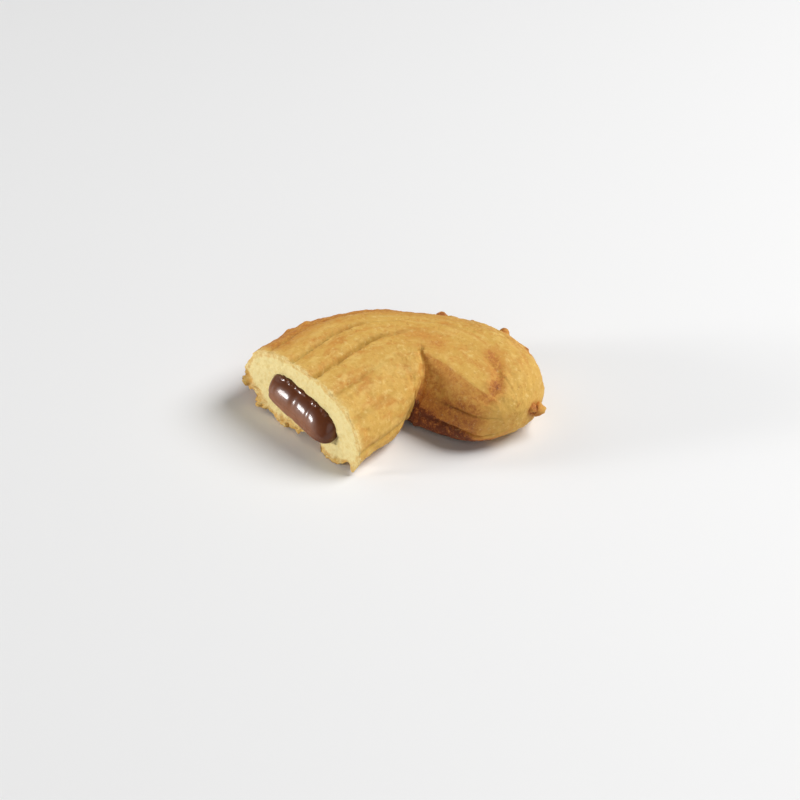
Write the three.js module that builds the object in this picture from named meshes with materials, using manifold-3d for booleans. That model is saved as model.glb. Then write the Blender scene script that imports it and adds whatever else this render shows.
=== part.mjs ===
// Half of a filled, S-shaped piped biscuit, cut across the middle of the S.
// Millimetres, +Z up, the biscuit lying on z = 0 with the cut end towards -X and -Y.
// A ridged rope of dough runs from the cut, bends sharply round its inner corner and closes in a rounded tip.
// A core of cocoa cream fills a channel along the rope and bulges out of the cut.
import * as THREE from "three";
import { LoftGeometry } from "three/addons/geometries/LoftGeometry.js";
import { mergeVertices } from "three/addons/utils/BufferGeometryUtils.js";
import Module from "manifold-3d";

// The rope in plan. Its inner corner is the origin while it is drawn. Headings are in degrees from +X.
const ARM_LENGTH = 13; // from the cut to the bend, along the inner side
const ARM_HEADING = 53;
const CUT_HEADING = 44; // the cut isn't square to the arm
const BEND_START_HEADING = 55;
const BEND_END_HEADING = -49;
const BEND_LENGTH = 19; // along the middle of the rope
const CORNER_RADIUS = 0.5;
const FOREARM_LENGTH = 2.4;
const TIP_LENGTH = 7.1;
const TIP_BLUNTNESS = 2.1;
const TIP_THINNESS = 0.2; // how much of its height the last of the tip keeps
const TIP_MIDDLE = 0.4; // the height it closes at, as a share of the rope's
const SMALLEST_TIP = 0.05;

const BEND_START = ARM_LENGTH;
const BEND_END = BEND_START + BEND_LENGTH;
const TIP_START = BEND_END + FOREARM_LENGTH;

// The rope's section at key distances s from the cut. inset is how far the inner wall stands back from the
// plan's inner edge, the bellies are the heights where the two walls stand out furthest, and foot is how
// square the underside is.
const KEY_SECTIONS = [
  { s: 0, width: 24.3, inset: 0, height: 11.3, innerBelly: 3.2, outerBelly: 3.5, foot: 2.7 },
  { s: BEND_START - 4.5, width: 24, inset: 0, height: 11.4, innerBelly: 3.7, outerBelly: 3.5, foot: 3 },
  { s: BEND_START, width: 23.3, inset: 0.3, height: 11.4, innerBelly: 5, outerBelly: 3.5, foot: 3.8 },
  { s: BEND_START + 5, width: 20.5, inset: 0.2, height: 11.4, innerBelly: 4.2, outerBelly: 3.5, foot: 3.8 },
  { s: BEND_START + 9.5, width: 18.1, inset: 0, height: 11.3, innerBelly: 3, outerBelly: 3.5, foot: 3.4 },
  { s: BEND_END, width: 18.8, inset: 0, height: 11.2, innerBelly: 2.4, outerBelly: 3.5, foot: 2.8 },
  { s: TIP_START, width: 17.5, inset: 0.3, height: 10.9, innerBelly: 2.6, outerBelly: 3.5, foot: 2.7 },
];
const INNER_SHOULDER = 2.28; // how square the shoulders are: 2 is an ellipse
const OUTER_SHOULDER = 2.5;
const FLOOR_SINK = 0.15; // the underside settles this much in the oven, which flattens its ridges

// The ridges that the star nozzle leaves. Grooves are numbered from the underside round the outer side.
const GROOVES = 12;
const POINTS_PER_RIDGE = 6;
const FIRST_GROOVE = 0.043; // as a share of the way round the section
const GROOVE_SHIFTS = [0, 0, 0, 0, 0, -0.004, -0.018, -0.018, -0.03, -0.025, -0.015, 0];
const GROOVE_DEPTHS = [0.6, 0.6, 0.45, 0.3, 0.25, 0.5, 0.75, 0.35, 0.35, 0.4, 0.5, 0.6];
const OUTER_GROOVES = [2, 4];
const TOP_GROOVES = [5, 7];
const INNER_GROOVES = [8, 10];
const GROOVE_SHARPNESS = 1.6;
const CREST_UNEVENNESS = 0.1;

// The crease at the inner corner, where the two arms are pressed together.
const MITRE_FULL = 2; // distance from the wall up to which the corner is sharp
const MITRE_NONE = 6.5;
const CREASE_LEAN = 2.4; // how far the foot of the crease runs back under the first arm
const CREASE_LEAN_HEADING = 165;
const CREASE_LEAN_HEIGHT = 8.5;
const CREASE_LEAN_REACH = 4.5;
const CREASE_LEAN_DEPTH = 6;

// The cocoa cream and its channel.
const CHANNEL_WIDTH = 12.9;
const CHANNEL_HEIGHT = 4.8;
const CHANNEL_MIDDLE = 5.5;
const CHANNEL_SHIFT = -0.4; // from the middle of the rope, towards its outer side
const CHANNEL_TILT = 0.11; // the inner side lies lower
const CHANNEL_SQUARENESS = 2.3;
const CHANNEL_NARROWEST = 0.72; // round the bend, as a share of the width at the cut
const CHANNEL_END = BEND_END + 1;
const CREAM_GAP = 0.3;
const CREAM_BULGE = 2.2;
const CREAM_SAG = 0.5;
const CREAM_BLUNTNESS = 2.4;
const SMALLEST_BULGE = 0.12;

// Lumps of crumb on the crust: distance from the cut, share of the way round, radius, phase of the bumps.
const KNOBS = [
  { s: 30.9, share: 0.33, radius: 0.85, phase: 3 },
  { s: 39.2, share: 0.155, radius: 1.15, phase: 5 },
  { s: 24.2, share: 0.33, radius: 0.4, phase: 7 },
];
// Crags of crust that hang from the cut: distance from the inner side, height, how far in front of the cut.
const CRAGS = [
  { aside: 0.7, height: 0.6, out: 0.3, radius: 0.85, phase: 23 },
  { aside: 4.9, height: 0.8, out: 0.3, radius: 1.3, phase: 19 },
  { aside: 6.4, height: 1.1, out: 0.1, radius: 0.9, phase: 17 },
  { aside: 23.6, height: 3.2, out: 0, radius: 0.6, phase: 11 },
  { aside: 21.6, height: 1.4, out: -0.1, radius: 0.6, phase: 13 },
];
const LUMP_ROUGHNESS = 0.15;

// How finely the surfaces are divided.
const ARM_RINGS = 9;
const BEND_RINGS = 20;
const FOREARM_RINGS = 2;
const TIP_RINGS = 8;
const CORE_RINGS = 22;
const CORE_SIDES = 28;
const BULGE_RINGS = 5;
const EASING_PASSES = 3;

const { clamp, degToRad, lerp, smoothstep } = THREE.MathUtils;
const direction = (heading) => new THREE.Vector2(Math.cos(degToRad(heading)), Math.sin(degToRad(heading)));
const acrossFrom = (heading) => direction(heading + 90);
const signedPower = (x, power) => Math.sign(x) * Math.abs(x) ** power;
const spread = (from, to, count) => Array.from({ length: count }, (_, i) => lerp(from, to, i / count));

// The foot of the rope's inner wall in plan, and the heading there, at a distance from the cut.
function planAt(s) {
  const foot = new THREE.Vector2();
  if (s < BEND_START) {
    foot.addScaledVector(acrossFrom(BEND_START_HEADING), CORNER_RADIUS);
    foot.addScaledVector(direction(ARM_HEADING), s - BEND_START);
    return { foot, heading: lerp(CUT_HEADING, BEND_START_HEADING, s / BEND_START) };
  }
  const heading = lerp(BEND_START_HEADING, BEND_END_HEADING, clamp((s - BEND_START) / BEND_LENGTH, 0, 1));
  foot.addScaledVector(acrossFrom(heading), CORNER_RADIUS);
  foot.addScaledVector(direction(heading), clamp(s - BEND_END, 0, FOREARM_LENGTH));
  return { foot, heading };
}

// The rope's section at a distance from the cut, between the key sections.
function sectionAt(s) {
  const reached = clamp(s, 0, TIP_START);
  const next = Math.max(1, KEY_SECTIONS.findIndex((key) => key.s >= reached));
  const [from, to] = [KEY_SECTIONS[next - 1], KEY_SECTIONS[next]];
  const share = (reached - from.s) / (to.s - from.s);
  return Object.fromEntries(Object.keys(to).map((name) => [name, lerp(from[name], to[name], share)]));
}

// The smooth outline of a section: x across the rope from the inner wall to the outer one, y up.
// It runs from the middle of the underside round the outer side, over the top and back.
class SectionOutline extends THREE.Curve {
  constructor(section) {
    super();
    this.section = section;
  }

  getPoint(t, target = new THREE.Vector3()) {
    const { width, inset, height, innerBelly, outerBelly, foot } = this.section;
    const cos = Math.cos(2 * Math.PI * (t - 0.25));
    const sin = Math.sin(2 * Math.PI * (t - 0.25));
    const belly = cos > 0 ? outerBelly : innerBelly;
    const shoulder = cos > 0 ? OUTER_SHOULDER : INNER_SHOULDER;
    const power = 2 / (sin > 0 ? shoulder : foot);
    const reach = sin > 0 ? height - belly : belly + FLOOR_SINK;
    const x = inset + (width / 2) * (1 + signedPower(cos, power));
    return target.set(x, belly + reach * signedPower(sin, power), 0);
  }
}

const grooveShare = (k) => FIRST_GROOVE + k / GROOVES + GROOVE_SHIFTS[k % GROOVES];

const isAmong = (k, [first, last]) => k >= first && k <= last;

// The outer and top grooves fade out round the bend. The inner ones are gone at the corner and show again
// after it.
function grooveDepth(k, s) {
  const onTip = 1 - 0.8 * smoothstep(s, BEND_END, TIP_START + 3);
  const depth = GROOVE_DEPTHS[k % GROOVES] * onTip;
  if (isAmong(k, OUTER_GROOVES)) return depth * (1 - 0.6 * smoothstep(s, BEND_START, BEND_END));
  if (isAmong(k, TOP_GROOVES)) return depth * (1 - 0.9 * smoothstep(s, 2, BEND_START + 9));
  if (!isAmong(k, INNER_GROOVES)) return depth;
  const beforeCorner = 1 - smoothstep(s, 3, BEND_START);
  const afterCorner = smoothstep(s, BEND_START + 7, BEND_END);
  return depth * Math.max(beforeCorner, afterCorner);
}

// How deep the surface lies under the smooth outline on ridge k, where x is 0 and 1 in the grooves beside it.
function ridgeDepth(k, x, s) {
  const crest = Math.sin(Math.PI * x);
  const unevenness = Math.sin(0.55 * s + 2.4 * k) * Math.sin(0.21 * s + 1.1 * k);
  const groove = grooveDepth(x < 0.5 ? k : k + 1, s) * (1 - crest) ** GROOVE_SHARPNESS;
  return groove + CREST_UNEVENNESS * unevenness * crest;
}

// Round the bend the inner walls run straight on until they meet in a crease, in place of a round corner.
function mitred(distance, heading, s) {
  if (s <= BEND_START || s >= BEND_END) return distance;
  const beforeCrease = Math.cos(degToRad(BEND_START_HEADING - heading));
  const afterCrease = Math.cos(degToRad(heading - BEND_END_HEADING));
  const stretch = 1 / Math.max(beforeCrease, afterCrease);
  return distance * lerp(stretch, 1, smoothstep(distance, MITRE_FULL, MITRE_NONE));
}

// The foot of the crease runs back under the first arm.
function creaseLean(distance, height, s) {
  const before = smoothstep(s, BEND_START - CREASE_LEAN_REACH, BEND_START + 1);
  const after = 1 - smoothstep(s, BEND_END - 1, BEND_END + CREASE_LEAN_REACH);
  const low = clamp(1 - height / CREASE_LEAN_HEIGHT, 0, 1);
  const near = 1 - smoothstep(distance, 1, CREASE_LEAN_DEPTH);
  return CREASE_LEAN * before * after * low * near;
}

// The rope's ridged outline in space at a distance from the cut.
function ropeRing(s) {
  const { foot, heading } = planAt(s);
  const outline = new SectionOutline(sectionAt(s));
  return Array.from({ length: GROOVES * POINTS_PER_RIDGE }, (_, i) => {
    const k = Math.floor(i / POINTS_PER_RIDGE);
    const x = (i % POINTS_PER_RIDGE) / POINTS_PER_RIDGE;
    const share = lerp(grooveShare(k), grooveShare(k + 1), x) % 1;
    const point = outline.getPointAt(share);
    const tangent = outline.getTangentAt(share);
    const depth = ridgeDepth(k, x, s);
    const distance = point.x - tangent.y * depth;
    const height = Math.max(0, point.y + tangent.x * depth);
    const place = foot.clone().addScaledVector(acrossFrom(heading), mitred(distance, heading, s));
    place.addScaledVector(direction(CREASE_LEAN_HEADING), creaseLean(distance, height, s));
    return new THREE.Vector3(place.x, place.y, height);
  });
}

// On the tip the outline draws in to its middle as it runs forward: closed is 0 at its start, 1 at its end.
function tipRing(closed) {
  const { foot, heading } = planAt(TIP_START);
  const { width, height } = sectionAt(TIP_START);
  const kept = Math.max(SMALLEST_TIP, (1 - closed ** TIP_BLUNTNESS) ** (1 / TIP_BLUNTNESS));
  const middle = foot.clone().addScaledVector(acrossFrom(heading), width / 2);
  const centre = new THREE.Vector3(middle.x, middle.y, TIP_MIDDLE * height);
  const scale = new THREE.Vector3(kept, kept, lerp(TIP_THINNESS, 1, kept));
  const forward = direction(heading).multiplyScalar(TIP_LENGTH * closed);
  return ropeRing(TIP_START + TIP_LENGTH * closed).map((point) =>
    point.sub(centre).multiply(scale).add(centre).add(new THREE.Vector3(forward.x, forward.y, 0)),
  );
}

// The ridges ease from one stretch of the rope into the next, each ring towards the middle of its neighbours.
function easeAlong(rings) {
  return rings.map((ring, r) => {
    if (r === 0 || r === rings.length - 1) return ring;
    const [before, after] = [rings[r - 1], rings[r + 1]];
    return ring.map((point, i) => before[i].clone().lerp(after[i], 0.5).lerp(point, 0.5));
  });
}

function makeRope() {
  const distances = [
    ...spread(0, BEND_START, ARM_RINGS),
    ...spread(BEND_START, BEND_END, BEND_RINGS),
    ...spread(BEND_END, TIP_START, FOREARM_RINGS),
  ];
  const closings = [...spread(0, 1, TIP_RINGS), 1].map((t) => Math.sin((Math.PI / 2) * t));
  let rings = [...distances.map(ropeRing), ...closings.map(tipRing)];
  for (let pass = 0; pass < EASING_PASSES; pass++) rings = easeAlong(rings);
  return new LoftGeometry(rings, { capStart: true, capEnd: true });
}

// A rough lump of crumb, flat where it meets the floor.
function makeLump(place, radius, phase) {
  const geometry = new THREE.IcosahedronGeometry(radius, 2);
  const position = geometry.getAttribute("position");
  const point = new THREE.Vector3();
  for (let i = 0; i < position.count; i++) {
    const { x, y, z } = point.fromBufferAttribute(position, i).divideScalar(radius).clone();
    const bumps = Math.sin(3 * x + phase) * Math.sin(3.4 * y + 2 * phase) + Math.sin(3.8 * z + 3 * phase);
    point.multiplyScalar(radius * (1 + LUMP_ROUGHNESS * bumps)).add(place);
    position.setXYZ(i, point.x, point.y, Math.max(0, point.z));
  }
  return geometry;
}

function makeKnob({ s, share, radius, phase }) {
  const ring = s > TIP_START ? tipRing((s - TIP_START) / TIP_LENGTH) : ropeRing(s);
  return makeLump(ring[Math.round(share * ring.length)], radius, phase);
}

function makeCrag({ aside, height, out, radius, phase }) {
  const { foot, heading } = planAt(0);
  const place = foot.addScaledVector(acrossFrom(heading), aside).addScaledVector(direction(heading), -out);
  return makeLump(new THREE.Vector3(place.x, place.y, height), radius, phase);
}

// An outline of the core at a distance from the cut, grown all round by gap, with scale for its bulging end.
function coreRing(s, gap, scale = 1, forward = 0, sag = 0) {
  const { foot, heading } = planAt(s);
  const { inset, width } = sectionAt(s);
  const narrowed = lerp(1, CHANNEL_NARROWEST, smoothstep(s, 0, BEND_START + BEND_LENGTH / 2));
  const halfWidth = scale * ((narrowed * CHANNEL_WIDTH) / 2 + gap);
  const halfHeight = scale * (CHANNEL_HEIGHT / 2 + gap);
  const middle = foot.clone().addScaledVector(acrossFrom(heading), inset + width / 2 + CHANNEL_SHIFT);
  middle.addScaledVector(direction(heading), -forward);
  return spread(0, 2 * Math.PI, CORE_SIDES).map((angle) => {
    const aside = halfWidth * signedPower(Math.cos(angle), 2 / CHANNEL_SQUARENESS);
    const up = halfHeight * signedPower(Math.sin(angle), 2 / CHANNEL_SQUARENESS);
    const place = middle.clone().addScaledVector(acrossFrom(heading), aside);
    return new THREE.Vector3(place.x, place.y, CHANNEL_MIDDLE + CHANNEL_TILT * aside + up - sag);
  });
}

const coreRings = (gap) => [...spread(0, CHANNEL_END, CORE_RINGS), CHANNEL_END].map((s) => coreRing(s, gap));

// The channel reaches a little past the cut and past the end of the cream.
function makeChannel() {
  const front = coreRing(0, CREAM_GAP, 1, CREAM_GAP);
  const back = coreRing(CHANNEL_END + CREAM_GAP, CREAM_GAP);
  return new LoftGeometry([front, ...coreRings(CREAM_GAP), back], { capStart: true, capEnd: true });
}

// The cream swells out of the cut and hangs a little.
function makeCream() {
  const bulge = spread(0, 1, BULGE_RINGS).map((t) => {
    const out = Math.cos((Math.PI / 2) * t);
    const scale = Math.max(SMALLEST_BULGE, (1 - out ** CREAM_BLUNTNESS) ** (1 / CREAM_BLUNTNESS));
    return coreRing(0, 0, scale, CREAM_BULGE * out, CREAM_SAG * out);
  });
  return new LoftGeometry([...bulge, ...coreRings(0)], { capStart: true, capEnd: true });
}

const wasm = await Module();
wasm.setup();

function toSolid(geometry) {
  const bare = new THREE.BufferGeometry().setAttribute("position", geometry.getAttribute("position"));
  const merged = mergeVertices(bare.setIndex(geometry.getIndex()));
  const vertProperties = merged.getAttribute("position").array;
  const triVerts = new Uint32Array(merged.getIndex().array);
  return new wasm.Manifold(new wasm.Mesh({ numProp: 3, vertProperties, triVerts }));
}

function toMesh(name, solid, material) {
  const { vertProperties, triVerts } = solid.getMesh();
  const geometry = new THREE.BufferGeometry();
  geometry.setAttribute("position", new THREE.BufferAttribute(vertProperties, 3));
  geometry.setIndex(new THREE.BufferAttribute(triVerts, 1));
  geometry.computeVertexNormals();
  const mesh = new THREE.Mesh(geometry, material);
  mesh.name = name;
  return mesh;
}

const crust = new THREE.MeshStandardMaterial({ color: 0xd3a557, roughness: 0.85, metalness: 0 });
const cocoa = new THREE.MeshStandardMaterial({ color: 0x6e3e26, roughness: 0.25, metalness: 0 });

const lumps = [...KNOBS.map(makeKnob), ...CRAGS.map(makeCrag)].map(toSolid);
const dough = lumps.reduce((body, lump) => body.add(lump), toSolid(makeRope()));
const biscuit = new THREE.Group();
biscuit.add(toMesh("biscuit_dough", dough.subtract(toSolid(makeChannel())), crust));
biscuit.add(toMesh("cocoa_cream", toSolid(makeCream()), cocoa));

// The finished part stands with the middle of its footprint over the origin.
const box = new THREE.Box3().setFromObject(biscuit);
const centre = box.getCenter(new THREE.Vector3());
biscuit.position.set(-centre.x, -centre.y, -box.min.z);

const part = new THREE.Group();
part.add(biscuit);

export default part;
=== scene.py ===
import math

import bmesh
import bpy
import numpy as np
from mathutils import Matrix, Vector
from mathutils.kdtree import KDTree


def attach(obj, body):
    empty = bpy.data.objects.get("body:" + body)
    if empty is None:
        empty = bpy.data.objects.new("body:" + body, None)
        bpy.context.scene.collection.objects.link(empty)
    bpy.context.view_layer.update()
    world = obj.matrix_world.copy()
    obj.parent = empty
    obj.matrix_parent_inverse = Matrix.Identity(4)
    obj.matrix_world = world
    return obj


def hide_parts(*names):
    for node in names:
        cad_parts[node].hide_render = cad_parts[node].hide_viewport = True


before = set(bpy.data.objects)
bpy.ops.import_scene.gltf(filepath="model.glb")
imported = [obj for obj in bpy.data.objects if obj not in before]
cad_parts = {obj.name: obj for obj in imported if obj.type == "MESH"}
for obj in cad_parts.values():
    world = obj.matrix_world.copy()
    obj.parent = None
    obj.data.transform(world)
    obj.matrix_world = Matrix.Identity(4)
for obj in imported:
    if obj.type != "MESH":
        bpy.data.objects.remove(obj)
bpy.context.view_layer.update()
bpy.ops.object.select_all(action="DESELECT")


# ---------------------------------------------------------------------------------------------
# The rope of shortcrust. Butter dough is pressed through a star nozzle round a core of cream, and
# the rope is folded back on itself while it is soft, so its inner side is nipped into a crease.
# It is baked on a flat tray, and half of it is left by a cut through the middle of the S.
# ---------------------------------------------------------------------------------------------
MM = 0.001
INNER_CORNER = np.array((3.646, -4.120, 0.0))  # where the two arms meet on the tray, in millimetres

# The rope's run, in millimetres from the cut and degrees of heading: an arm, the fold, a forearm and the tip.
ARM_LENGTH = 13.0
FOLD_LENGTH = 19.0
FOREARM_LENGTH = 2.4
TIP_LENGTH = 7.1
FOLD_START = ARM_LENGTH
FOLD_END = FOLD_START + FOLD_LENGTH
TIP_START = FOLD_END + FOREARM_LENGTH
ARM_HEADING = 53.0
CUT_HEADING = 44.0
FOLD_HEADINGS = (55.0, -49.0)
CORNER_RADIUS = 0.5

# The nozzle's outline at some distances from the cut, before its teeth.
KEY_DISTANCES = (0.0, 8.5, 13.0, 18.0, 22.5, 32.0, 34.4)
WIDTHS = (24.3, 24.0, 23.3, 20.5, 18.1, 18.8, 17.5)
INSETS = (0.0, 0.0, 0.3, 0.2, 0.0, 0.0, 0.3)
HEIGHTS = (11.3, 11.4, 11.4, 11.4, 11.3, 11.2, 10.9)
INNER_BELLIES = (3.2, 3.7, 5.0, 4.2, 3.0, 2.4, 2.6)
OUTER_BELLY = 3.5
FOOT_SQUARENESS = (2.7, 3.0, 3.8, 3.8, 3.4, 2.8, 2.7)
INNER_SHOULDER = 2.28
OUTER_SHOULDER = 2.5
FLOOR_SINK = 0.15

# The fold stretches the rope's outer side, and leans the foot of its inner side over.
STRETCH_ACROSS = (2.0, 6.5)
FOLD_LEAN = 2.4
LEAN_HEADING = 165.0
LEAN_TOP = 8.5
LEAN_ACROSS = (1.0, 6.0)
LEAN_STARTS = (FOLD_START - 4.5, FOLD_START + 1)
LEAN_ENDS = (FOLD_END - 1, FOLD_END + 4.5)

TIP_SQUARENESS = 2.1
TIP_SMALLEST = 0.05
TIP_CENTRE = 0.4  # the share of its height that the tip closes towards
TIP_FLATNESS = 0.2

RING_POINTS = 72
# Shares of the way round, from the middle of the underside by the outer side. The underside needs fewer points.
ROUND = np.interp(np.arange(RING_POINTS), (0, 8, 64, RING_POINTS), (0, 0.17, 0.83, 1))
ALONG = np.concatenate((
    (0.0, 0.35),
    np.linspace(1.0, FOLD_START, 16, endpoint=False),
    np.linspace(FOLD_START, FOLD_END, 35, endpoint=False),
    np.linspace(FOLD_END, TIP_START, 3, endpoint=False),
    TIP_START + TIP_LENGTH * np.sin(np.linspace(0, math.pi / 2, 13)),
))
EVENING_ROUNDS = 8


def smooth(x, start, end):
    """Rises smoothly from 0 at the start to 1 at the end."""
    t = np.clip((x - start) / (end - start), 0, 1)
    return t * t * (3 - 2 * t)


def heading_way(degrees):
    return np.array((math.cos(math.radians(degrees)), math.sin(math.radians(degrees))))


def signed_power(x, power):
    return np.sign(x) * np.abs(x) ** power


def plan_at(s):
    """The foot of the inner wall in plan and the rope's heading, at a distance from the cut."""
    if s < FOLD_START:
        foot = CORNER_RADIUS * heading_way(FOLD_HEADINGS[0] + 90) + (s - FOLD_START) * heading_way(ARM_HEADING)
        return foot, CUT_HEADING + (FOLD_HEADINGS[0] - CUT_HEADING) * s / FOLD_START
    heading = np.interp(s, (FOLD_START, FOLD_END), FOLD_HEADINGS)
    past_fold = min(max(s - FOLD_END, 0), FOREARM_LENGTH)
    return CORNER_RADIUS * heading_way(heading + 90) + past_fold * heading_way(heading), heading


def nozzle_outline(s, shares):
    """Distance from the inner wall and height of the rope's skin at shares of the way round."""
    s = min(s, TIP_START)
    width, inset, height, inner_belly, foot = (
        np.interp(s, KEY_DISTANCES, values) for values in (WIDTHS, INSETS, HEIGHTS, INNER_BELLIES, FOOT_SQUARENESS)
    )
    turn = np.linspace(-math.pi / 2, 1.5 * math.pi, 2401)
    out, up = np.cos(turn), np.sin(turn)
    belly = np.where(out > 0, OUTER_BELLY, inner_belly)
    squareness = np.where(up > 0, np.where(out > 0, OUTER_SHOULDER, INNER_SHOULDER), foot)
    reach = np.where(up > 0, height - belly, belly + FLOOR_SINK)
    across = inset + width / 2 * (1 + signed_power(out, 2 / squareness))
    rise = belly + reach * signed_power(up, 2 / squareness)
    walked = np.concatenate(((0,), np.cumsum(np.hypot(np.diff(across), np.diff(rise)))))
    walked /= walked[-1]
    return np.interp(shares, walked, across), np.maximum(np.interp(shares, walked, rise), 0)


def rope_ring(s, shares=ROUND):
    """The ring of skin at a distance from the cut, with the fold's crease and the rounding of the tip."""
    foot, heading = plan_at(min(s, TIP_START))
    across, rise = nozzle_outline(s, shares)
    reach = across
    if FOLD_START < s < FOLD_END:
        stretch = 1 / max(math.cos(math.radians(FOLD_HEADINGS[0] - heading)),
                          math.cos(math.radians(heading - FOLD_HEADINGS[1])))
        reach = across * (stretch + (1 - stretch) * smooth(across, *STRETCH_ACROSS))
    lean = FOLD_LEAN * smooth(s, *LEAN_STARTS) * (1 - smooth(s, *LEAN_ENDS))
    lean = lean * np.clip(1 - rise / LEAN_TOP, 0, 1) * (1 - smooth(across, *LEAN_ACROSS))
    plan = foot + reach[:, None] * heading_way(heading + 90) + lean[:, None] * heading_way(LEAN_HEADING)
    ring = np.column_stack((plan, rise))
    if s > TIP_START:
        closed = (s - TIP_START) / TIP_LENGTH
        kept = max(TIP_SMALLEST, (1 - min(closed, 1) ** TIP_SQUARENESS) ** (1 / TIP_SQUARENESS))
        middle = foot + heading_way(heading + 90) * WIDTHS[-1] / 2
        centre = np.array((*middle, TIP_CENTRE * HEIGHTS[-1]))
        ring = centre + (ring - centre) * (kept, kept, TIP_FLATNESS + (1 - TIP_FLATNESS) * kept)
        ring[:, :2] += TIP_LENGTH * closed * heading_way(heading)
    return ring


rings = np.array([rope_ring(s) for s in ALONG])
for _ in range(EVENING_ROUNDS):
    rings[1:-1] = rings[1:-1] / 2 + (rings[:-2] + rings[2:]) / 4


def on_skin(s, share):
    """The place on the rope's skin at a distance from the cut and a share of the way round."""
    after = int(np.clip(np.searchsorted(ALONG, s), 1, len(ALONG) - 1))
    part = (s - ALONG[after - 1]) / (ALONG[after] - ALONG[after - 1])
    ring = rings[after - 1] + (rings[after] - rings[after - 1]) * part
    closed_ring = np.vstack((ring, ring[:1]))
    return np.array([np.interp(share, (*ROUND, 1), closed_ring[:, axis]) for axis in range(3)])


def start_piece(name, points, width):
    """Adds the first ring of a piece, picks it, and makes room to keep each point's number and distance along."""
    bpy.ops.mesh.primitive_circle_add(vertices=points, radius=width / 2 * MM)
    piece = bpy.context.object
    piece.name = piece.data.name = name
    piece.data.attributes.new("along", "FLOAT", "POINT")
    piece.data.attributes.new("ring_number", "INT", "POINT").data.foreach_set("value", np.arange(points))
    bpy.ops.object.mode_set(mode="EDIT")
    bpy.ops.mesh.select_mode(type="VERT")
    bpy.ops.mesh.select_all(action="SELECT")
    return piece


def lay_ring(ring, distance):
    """Puts the picked ring of the mesh being edited in its place, and notes how far along the rope it is."""
    shape = bmesh.from_edit_mesh(bpy.context.object.data)
    number, along = shape.verts.layers.int["ring_number"], shape.verts.layers.float["along"]
    picked = sorted((v for v in shape.verts if v.select), key=lambda v: v[number])
    for vertex, point in zip(picked, ring, strict=True):
        vertex.co = (INNER_CORNER + point) * MM
        vertex[along] = distance
    bmesh.update_edit_mesh(bpy.context.object.data)


def pick_first(count):
    """Picks the first points of the mesh being edited."""
    bpy.ops.mesh.select_all(action="DESELECT")
    shape = bmesh.from_edit_mesh(bpy.context.object.data)
    shape.verts.ensure_lookup_table()
    for vertex in shape.verts[:count]:
        vertex.select = True
    shape.select_flush(True)
    bmesh.update_edit_mesh(bpy.context.object.data)


def apply_modifier(piece, kind, **settings):
    """Adds a modifier to the piece in hand, sets it, and applies it."""
    bpy.ops.object.modifier_add(type=kind)
    modifier = piece.modifiers[-1]
    for setting, value in settings.items():
        setattr(modifier, setting, value)
    bpy.ops.object.modifier_apply(modifier=modifier.name)


dough = start_piece("piped_shortcrust", RING_POINTS, WIDTHS[0])
lay_ring(rings[0], 0)
for ring, distance in zip(rings[1:], ALONG[1:]):
    bpy.ops.mesh.extrude_edges_move()
    lay_ring(ring, distance)
bpy.ops.mesh.merge(type="CENTER")

# The cut face runs in from the rim to the mouth of the channel, and the channel follows the rope. Their
# distances along are below zero: minus the share of the way to the mouth, and below -1 in the channel.
CHANNEL_WIDTH = 13.0
CHANNEL_HEIGHT = 4.6
CHANNEL_MIDDLE = 5.4
CHANNEL_SHIFT = -0.55
CHANNEL_TILT = 0.13
CHANNEL_SQUARENESS = 2.8
CHANNEL_NARROWEST = 0.72
CHANNEL_END = FOLD_END + 1
CHANNEL_DISTANCES = (0.4, *np.linspace(0, CHANNEL_END, 6)[1:], CHANNEL_END + 0.3)
FACE_ROWS = 6
SNUG = 0.03  # the channel is this much wider than the cream all round
RIM_SHARPNESS = 0.9


def core_ring(s, angles, gap=0.0, shrink=(1.0, 1.0), forward=0.0, sag=0.0):
    """A ring of the core at a distance from the cut, at angles round it from its outer side."""
    foot, heading = plan_at(s)
    width, inset = np.interp(s, KEY_DISTANCES, WIDTHS), np.interp(s, KEY_DISTANCES, INSETS)
    narrowed = 1 + (CHANNEL_NARROWEST - 1) * smooth(s, 0, FOLD_START + FOLD_LENGTH / 2)
    aside = shrink[0] * (narrowed * CHANNEL_WIDTH / 2 + gap) * signed_power(np.cos(angles), 2 / CHANNEL_SQUARENESS)
    up = shrink[1] * (CHANNEL_HEIGHT / 2 + gap) * signed_power(np.sin(angles), 2 / CHANNEL_SQUARENESS)
    middle = foot + heading_way(heading + 90) * (inset + width / 2 + CHANNEL_SHIFT) - heading_way(heading) * forward
    plan = middle + aside[:, None] * heading_way(heading + 90)
    return np.column_stack((plan, CHANNEL_MIDDLE + CHANNEL_TILT * aside + up - sag))


rim_across, rim_rise = nozzle_outline(0, ROUND)
mouth_across = rim_across - WIDTHS[0] / 2 - CHANNEL_SHIFT
mouth_rise = rim_rise - CHANNEL_MIDDLE
MOUTH_ANGLES = np.arctan2(signed_power(mouth_rise / CHANNEL_HEIGHT, CHANNEL_SQUARENESS / 2),
                          signed_power(mouth_across / CHANNEL_WIDTH, CHANNEL_SQUARENESS / 2))
mouth = core_ring(0, MOUTH_ANGLES, SNUG)
pick_first(RING_POINTS)
for row in range(1, FACE_ROWS + 1):
    bpy.ops.mesh.extrude_edges_move()
    lay_ring(rings[0] + (mouth - rings[0]) * row / FACE_ROWS, -row / FACE_ROWS)
for s in CHANNEL_DISTANCES:
    bpy.ops.mesh.extrude_edges_move()
    lay_ring(core_ring(s, MOUTH_ANGLES, SNUG), -1 - s / CHANNEL_END)
bpy.ops.mesh.merge(type="CENTER")
pick_first(RING_POINTS)
bpy.ops.transform.edge_crease(value=RIM_SHARPNESS)
bpy.ops.mesh.mark_sharp()
bpy.ops.mesh.select_all(action="SELECT")
bpy.ops.mesh.normals_make_consistent(inside=False)
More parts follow.
